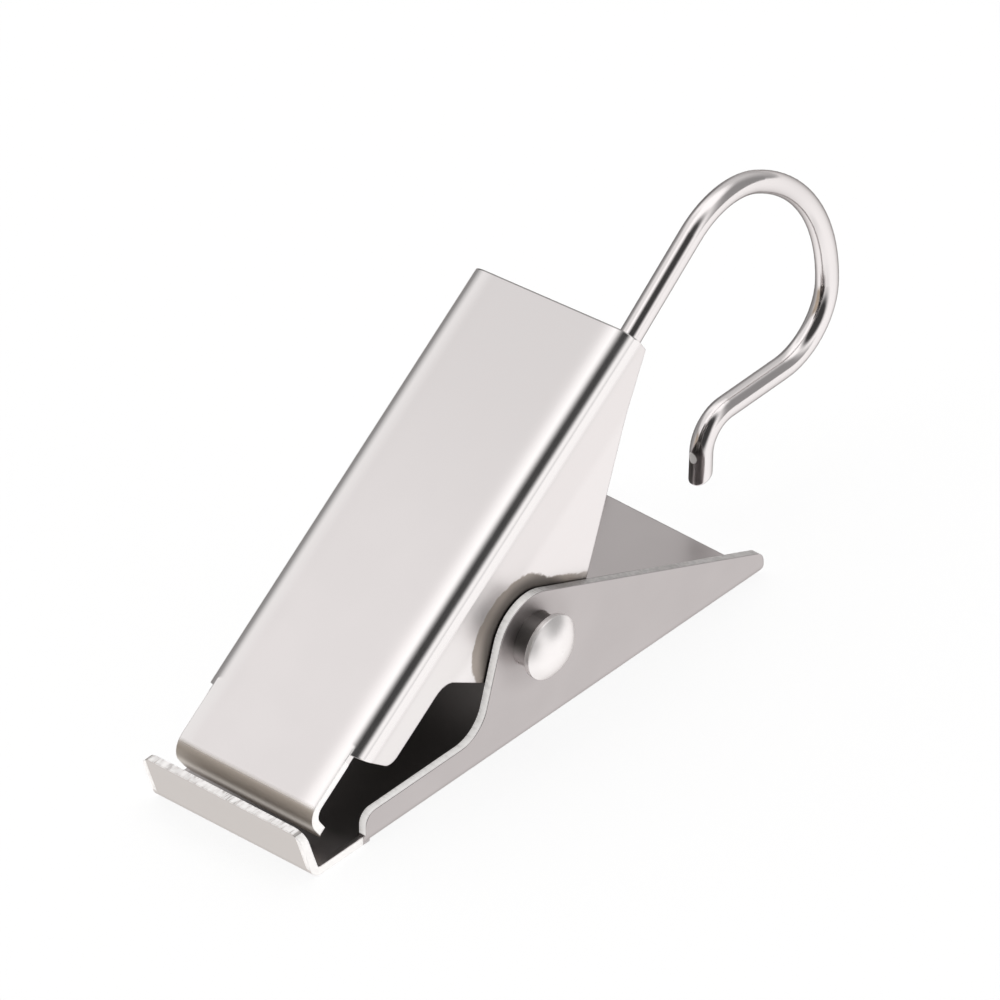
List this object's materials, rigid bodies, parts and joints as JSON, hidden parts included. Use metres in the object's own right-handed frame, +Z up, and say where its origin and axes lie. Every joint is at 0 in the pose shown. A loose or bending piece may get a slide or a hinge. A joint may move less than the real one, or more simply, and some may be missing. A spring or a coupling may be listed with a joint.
{
  "type": "curtain clip hook",
  "caption": "Sprung sheet-metal curtain clip: a folded front jaw riveted between the ears of a folded rear jaw, with a wire hook turning on the same pin.",
  "frame": {"origin": "on the rear jaw's flat outer face, straight below the pivot axis, in the clip's mid-plane", "axes": "+X along the pivot pin towards the standing rivet head, +Y along the rear plate towards the handle end and the hook, +Z up from the rear plate towards the front jaw"},
  "size_m": [0.0171, 0.0584, 0.0249],
  "materials": {
    "plated_sheet": "bright plated sheet with a soft satin sheen",
    "polished_rivet": "polished",
    "polished_wire": "polished drawn wire",
    "spring_wire": "plain drawn spring wire"
  },
  "bodies": {
    "rear": {"rear_jaw": "plated_sheet", "pivot_rivet": "polished_rivet", "torsion_spring": "spring_wire"},
    "front": {"front_jaw": "plated_sheet"},
    "hanger": {"hook": "polished_wire"}
  },
  "joints": [
    {"name": "jaw_pivot", "type": "hinge", "parent": "rear", "child": "front", "pos_m": [0, 0, 0.0073], "axis": [-1, 0, 0], "range_deg": [-2, 25], "stiffness_Nm_per_rad": 0.1, "deforming": ["torsion_spring"]},
    {"name": "hook_swing", "type": "hinge", "parent": "front", "child": "hanger", "pos_m": [0, 0, 0.0073], "axis": [-1, 0, 0], "range_deg": [-22, 20]}
  ]
}
